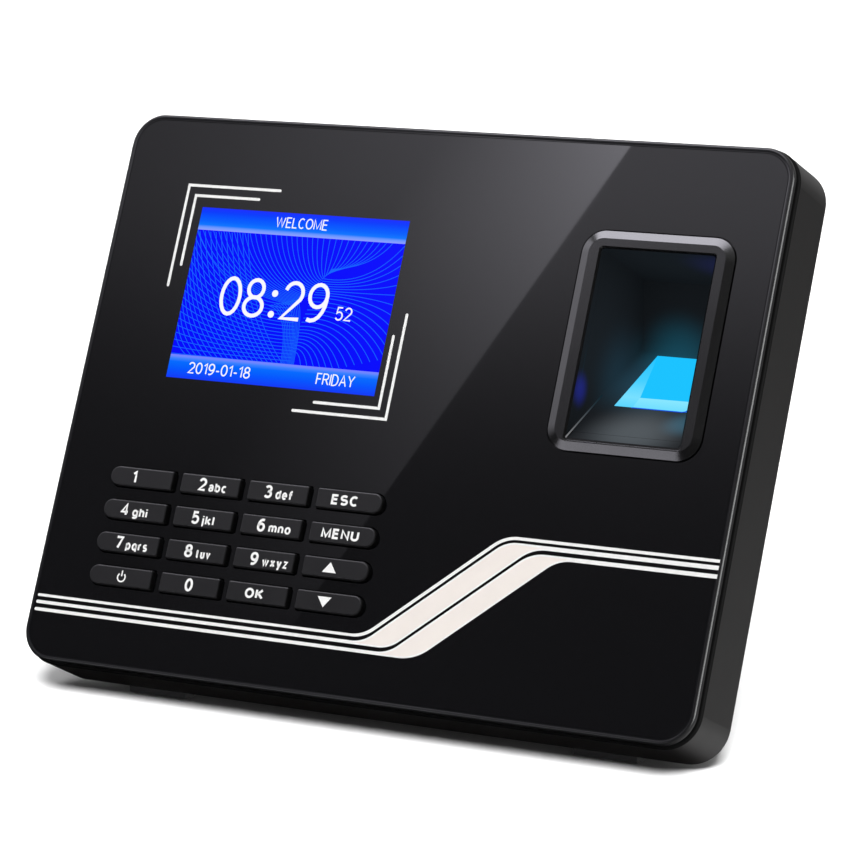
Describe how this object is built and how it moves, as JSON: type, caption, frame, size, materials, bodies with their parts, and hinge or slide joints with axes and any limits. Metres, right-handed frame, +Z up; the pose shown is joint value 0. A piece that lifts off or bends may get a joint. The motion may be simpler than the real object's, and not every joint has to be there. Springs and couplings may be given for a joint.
{
  "type": "fingerprint scanner terminal",
  "caption": "Desk or wall time clock with a glossy face, colour screen, rubber keypad, lit finger well with optical sensor, and a fold-out rear leg.",
  "frame": {"origin": "middle of the whole object's footprint box, on the surface it stands on", "axes": "+X to the right as a user faces it, +Y away from the user, +Z up; the face leans back 24.3 degrees"},
  "size_m": [0.1788, 0.0846, 0.1364],
  "materials": {
    "shell_plastic": "satin moulded, fine texture",
    "panel_gloss": "high gloss, printed from behind",
    "tape": "adhesive tape",
    "mat_rubber": "plain silicone",
    "key_rubber": "matt, printed legends",
    "board_green": "solder mask over glass fibre",
    "screw_steel": "zinc plated",
    "foam": "open foam",
    "screen_frame": "plain",
    "screen_glass": "lit display",
    "flex_amber": "polyimide film",
    "bezel_plastic": "satin",
    "well_plastic": "fine satin",
    "prism_glass": "polished, lit from behind in blue",
    "case_black": "plain",
    "lamp": "clear lens",
    "chip_black": "moulded epoxy",
    "socket_white": "nylon",
    "cell_steel": "nickel plated",
    "socket_steel": "nickel plated",
    "pin_steel": "plain",
    "cone": "paper",
    "magnet": "ferrite",
    "lead": "insulated",
    "foot_rubber": "matt",
    "cover_plastic": "satin moulded, fine texture",
    "leg_plastic": "fine texture"
  },
  "bodies": {
    "case": {"front_shell": "shell_plastic", "front_panel": "panel_gloss", "panel_tape": "tape", "keypad_mat": "mat_rubber", "keypad_board": "board_green", "keypad_screws": "screw_steel", "screen_gasket": "foam", "screen_frame": "screen_frame", "screen_glass": "screen_glass", "screen_flex": "flex_amber", "finger_bezel": "bezel_plastic", "finger_well": "well_plastic", "well_screws": "screw_steel", "sensor_prism": "prism_glass", "sensor_case": "case_black", "sensor_board": "board_green", "sensor_lens": "case_black", "lamp_board": "board_green", "sensor_lamps": "lamp", "main_board": "board_green", "board_screws": "screw_steel", "board_chips": "chip_black", "board_sockets": "socket_white", "cell_holder": "case_black", "clock_cell": "cell_steel", "usb_socket": "socket_steel", "usb_tongue": "case_black", "power_socket": "case_black", "power_pin": "pin_steel", "speaker_frame": "case_black", "speaker_cone": "cone", "speaker_magnet": "magnet", "keypad_lead": "lead", "sensor_lead": "lead", "speaker_lead": "lead", "rubber_feet": "foot_rubber", "rear_cover": "cover_plastic", "cover_screws": "screw_steel", "stand_pin": "pin_steel"},
    "key_1": {"key_1": "key_rubber"},
    "key_2": {"key_2": "key_rubber"},
    "key_3": {"key_3": "key_rubber"},
    "key_esc": {"key_esc": "key_rubber"},
    "key_4": {"key_4": "key_rubber"},
    "key_5": {"key_5": "key_rubber"},
    "key_6": {"key_6": "key_rubber"},
    "key_menu": {"key_menu": "key_rubber"},
    "key_7": {"key_7": "key_rubber"},
    "key_8": {"key_8": "key_rubber"},
    "key_9": {"key_9": "key_rubber"},
    "key_up": {"key_up": "key_rubber"},
    "key_power": {"key_power": "key_rubber"},
    "key_0": {"key_0": "key_rubber"},
    "key_ok": {"key_ok": "key_rubber"},
    "key_down": {"key_down": "key_rubber"},
    "leg": {"stand_leg": "leg_plastic", "stand_shoe": "foot_rubber"}
  },
  "joints": [
    {"name": "key_1_press", "type": "slide", "parent": "case", "child": "key_1", "axis": [0, 0.9114, -0.4115], "range_m": [0, 0.0011], "stiffness_N_per_m": 1000},
    {"name": "key_2_press", "type": "slide", "parent": "case", "child": "key_2", "axis": [0, 0.9114, -0.4115], "range_m": [0, 0.0011], "stiffness_N_per_m": 1000},
    {"name": "key_3_press", "type": "slide", "parent": "case", "child": "key_3", "axis": [0, 0.9114, -0.4115], "range_m": [0, 0.0011], "stiffness_N_per_m": 1000},
    {"name": "key_esc_press", "type": "slide", "parent": "case", "child": "key_esc", "axis": [0, 0.9114, -0.4115], "range_m": [0, 0.0011], "stiffness_N_per_m": 1000},
    {"name": "key_4_press", "type": "slide", "parent": "case", "child": "key_4", "axis": [0, 0.9114, -0.4115], "range_m": [0, 0.0011], "stiffness_N_per_m": 1000},
    {"name": "key_5_press", "type": "slide", "parent": "case", "child": "key_5", "axis": [0, 0.9114, -0.4115], "range_m": [0, 0.0011], "stiffness_N_per_m": 1000},
    {"name": "key_6_press", "type": "slide", "parent": "case", "child": "key_6", "axis": [0, 0.9114, -0.4115], "range_m": [0, 0.0011], "stiffness_N_per_m": 1000},
    {"name": "key_menu_press", "type": "slide", "parent": "case", "child": "key_menu", "axis": [0, 0.9114, -0.4115], "range_m": [0, 0.0011], "stiffness_N_per_m": 1000},
    {"name": "key_7_press", "type": "slide", "parent": "case", "child": "key_7", "axis": [0, 0.9114, -0.4115], "range_m": [0, 0.0011], "stiffness_N_per_m": 1000},
    {"name": "key_8_press", "type": "slide", "parent": "case", "child": "key_8", "axis": [0, 0.9114, -0.4115], "range_m": [0, 0.0011], "stiffness_N_per_m": 1000},
    {"name": "key_9_press", "type": "slide", "parent": "case", "child": "key_9", "axis": [0, 0.9114, -0.4115], "range_m": [0, 0.0011], "stiffness_N_per_m": 1000},
    {"name": "key_up_press", "type": "slide", "parent": "case", "child": "key_up", "axis": [0, 0.9114, -0.4115], "range_m": [0, 0.0011], "stiffness_N_per_m": 1000},
    {"name": "key_power_press", "type": "slide", "parent": "case", "child": "key_power", "axis": [0, 0.9114, -0.4115], "range_m": [0, 0.0011], "stiffness_N_per_m": 1000},
    {"name": "key_0_press", "type": "slide", "parent": "case", "child": "key_0", "axis": [0, 0.9114, -0.4115], "range_m": [0, 0.0011], "stiffness_N_per_m": 1000},
    {"name": "key_ok_press", "type": "slide", "parent": "case", "child": "key_ok", "axis": [0, 0.9114, -0.4115], "range_m": [0, 0.0011], "stiffness_N_per_m": 1000},
    {"name": "key_down_press", "type": "slide", "parent": "case", "child": "key_down", "axis": [0, 0.9114, -0.4115], "range_m": [0, 0.0011], "stiffness_N_per_m": 1000},
    {"name": "leg_fold", "type": "hinge", "parent": "case", "child": "leg", "pos_m": [0, 0.0173, 0.06148], "axis": [-1, 0, 0], "range_deg": [0, 44.3]}
  ]
}
